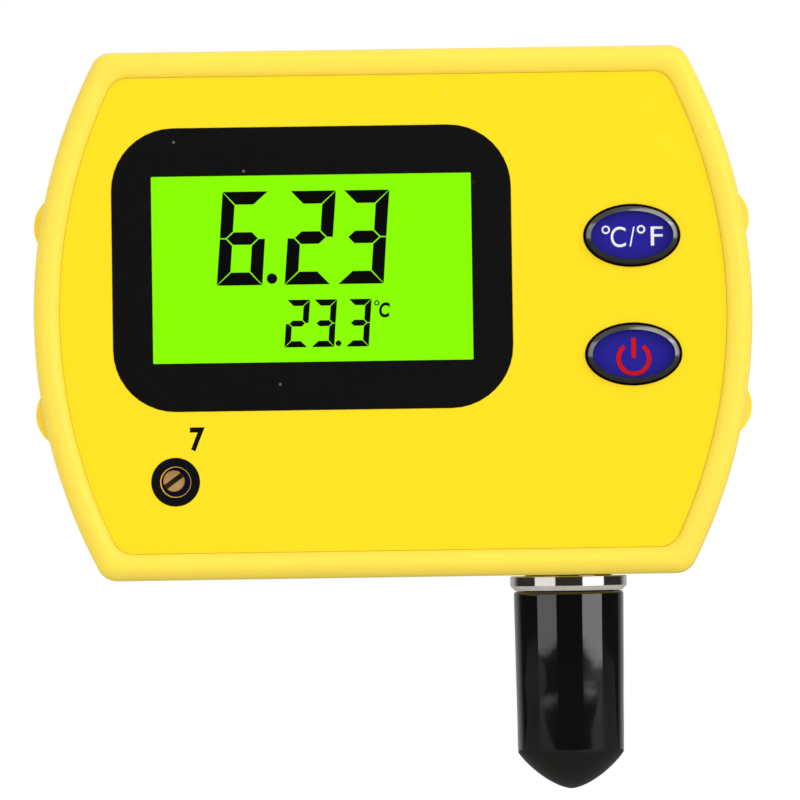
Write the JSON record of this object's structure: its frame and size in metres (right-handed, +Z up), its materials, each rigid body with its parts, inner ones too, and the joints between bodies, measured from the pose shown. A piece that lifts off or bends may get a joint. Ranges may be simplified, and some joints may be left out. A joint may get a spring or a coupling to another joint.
{
  "type": "ph meter",
  "caption": "Wall-hung pH monitor: arc-sided bead-rimmed case with a lit LCD, oval push buttons, a calibration trimmer, a battery door and a BNC probe jack under a push-on dust cap.",
  "frame": {"origin": "middle of the flat back face that hangs against a wall", "axes": "+X to the right as the display is read, +Y into the wall so the display faces -Y, +Z up with the probe jack pointing down"},
  "size_m": [0.1032, 0.034, 0.1063],
  "materials": {
    "case_plastic": "satin moulded yellow plastic",
    "face_film": "smooth printed yellow film",
    "bezel_film": "smooth printed black film",
    "clear_plastic": "clear polished acrylic",
    "lcd": "green lit liquid crystal panel",
    "white_plastic": "white moulded plastic",
    "contact_rubber": "layered silicone strip",
    "circuit_board": "green solder mask",
    "screw_steel": "bright zinc",
    "chip_resin": "black moulded resin",
    "button_black": "gloss black plastic",
    "button_blue": "printed dark blue",
    "brass": "turned brass",
    "nickel": "turned and nickel plated",
    "cap_vinyl": "glossy dipped black vinyl",
    "cell_jacket": "plain grey shrink jacket",
    "lead_red": "red insulation",
    "lead_black": "black insulation"
  },
  "bodies": {
    "case": {"front_shell": "case_plastic", "rear_shell": "case_plastic", "case_screw_1": "screw_steel", "case_screw_2": "screw_steel", "case_screw_3": "screw_steel", "case_screw_4": "screw_steel", "face_overlay": "face_film", "display_bezel": "bezel_film", "display_window": "clear_plastic", "lcd_cell": "lcd", "backlight_panel": "white_plastic", "backlight_led_left": "white_plastic", "backlight_led_right": "white_plastic", "lcd_holder": "white_plastic", "zebra_strip_upper": "contact_rubber", "zebra_strip_lower": "contact_rubber", "main_board": "circuit_board", "board_screw_1": "screw_steel", "board_screw_2": "screw_steel", "board_screw_3": "screw_steel", "board_screw_4": "screw_steel", "controller_chip": "chip_resin", "amplifier_chip": "chip_resin", "crystal": "screw_steel", "capacitor": "chip_resin", "thermistor": "chip_resin", "unit_button_switch": "chip_resin", "power_button_switch": "chip_resin", "trimmer_body": "button_blue", "bnc_jack": "nickel", "bnc_ring_nut": "nickel", "bnc_insulator": "white_plastic", "bnc_centre_contact": "brass", "solder_tag": "brass", "battery_cell_upper": "cell_jacket", "battery_cell_lower": "cell_jacket", "battery_spring_upper": "screw_steel", "battery_spring_lower": "screw_steel", "contact_plus": "nickel", "contact_minus": "nickel", "contact_link": "nickel", "battery_lead_plus": "lead_red", "battery_lead_minus": "lead_black", "signal_lead": "white_plastic", "ground_lead": "lead_black"},
    "unit_button": {"unit_button_body": "button_black", "unit_button_insert": "button_blue", "unit_button_lens": "clear_plastic", "unit_button_plunger": "chip_resin"},
    "power_button": {"power_button_body": "button_black", "power_button_insert": "button_blue", "power_button_lens": "clear_plastic", "power_button_plunger": "chip_resin"},
    "calibration_screw": {"trimmer_screw": "brass"},
    "dust_cap": {"dust_cap": "cap_vinyl"},
    "battery_door": {"battery_door": "case_plastic"}
  },
  "joints": [
    {"name": "unit_button_press", "type": "slide", "parent": "case", "child": "unit_button", "axis": [0, 1, 0], "range_m": [0, 0.0008], "stiffness_N_per_m": 400},
    {"name": "power_button_press", "type": "slide", "parent": "case", "child": "power_button", "axis": [0, 1, 0], "range_m": [0, 0.0008], "stiffness_N_per_m": 400},
    {"name": "calibration_screw_turn", "type": "hinge", "parent": "case", "child": "calibration_screw", "pos_m": [-0.0314, -0.0306, -0.0234], "axis": [0, 1, 0], "continuous": true},
    {"name": "dust_cap_pull", "type": "slide", "parent": "case", "child": "dust_cap", "axis": [0, 0, -1], "range_m": [0, 0.03]},
    {"name": "battery_door_swing", "type": "hinge", "parent": "case", "child": "battery_door", "pos_m": [0, -0.0002, -0.0038], "axis": [1, 0, 0], "range_deg": [0, 70]}
  ]
}
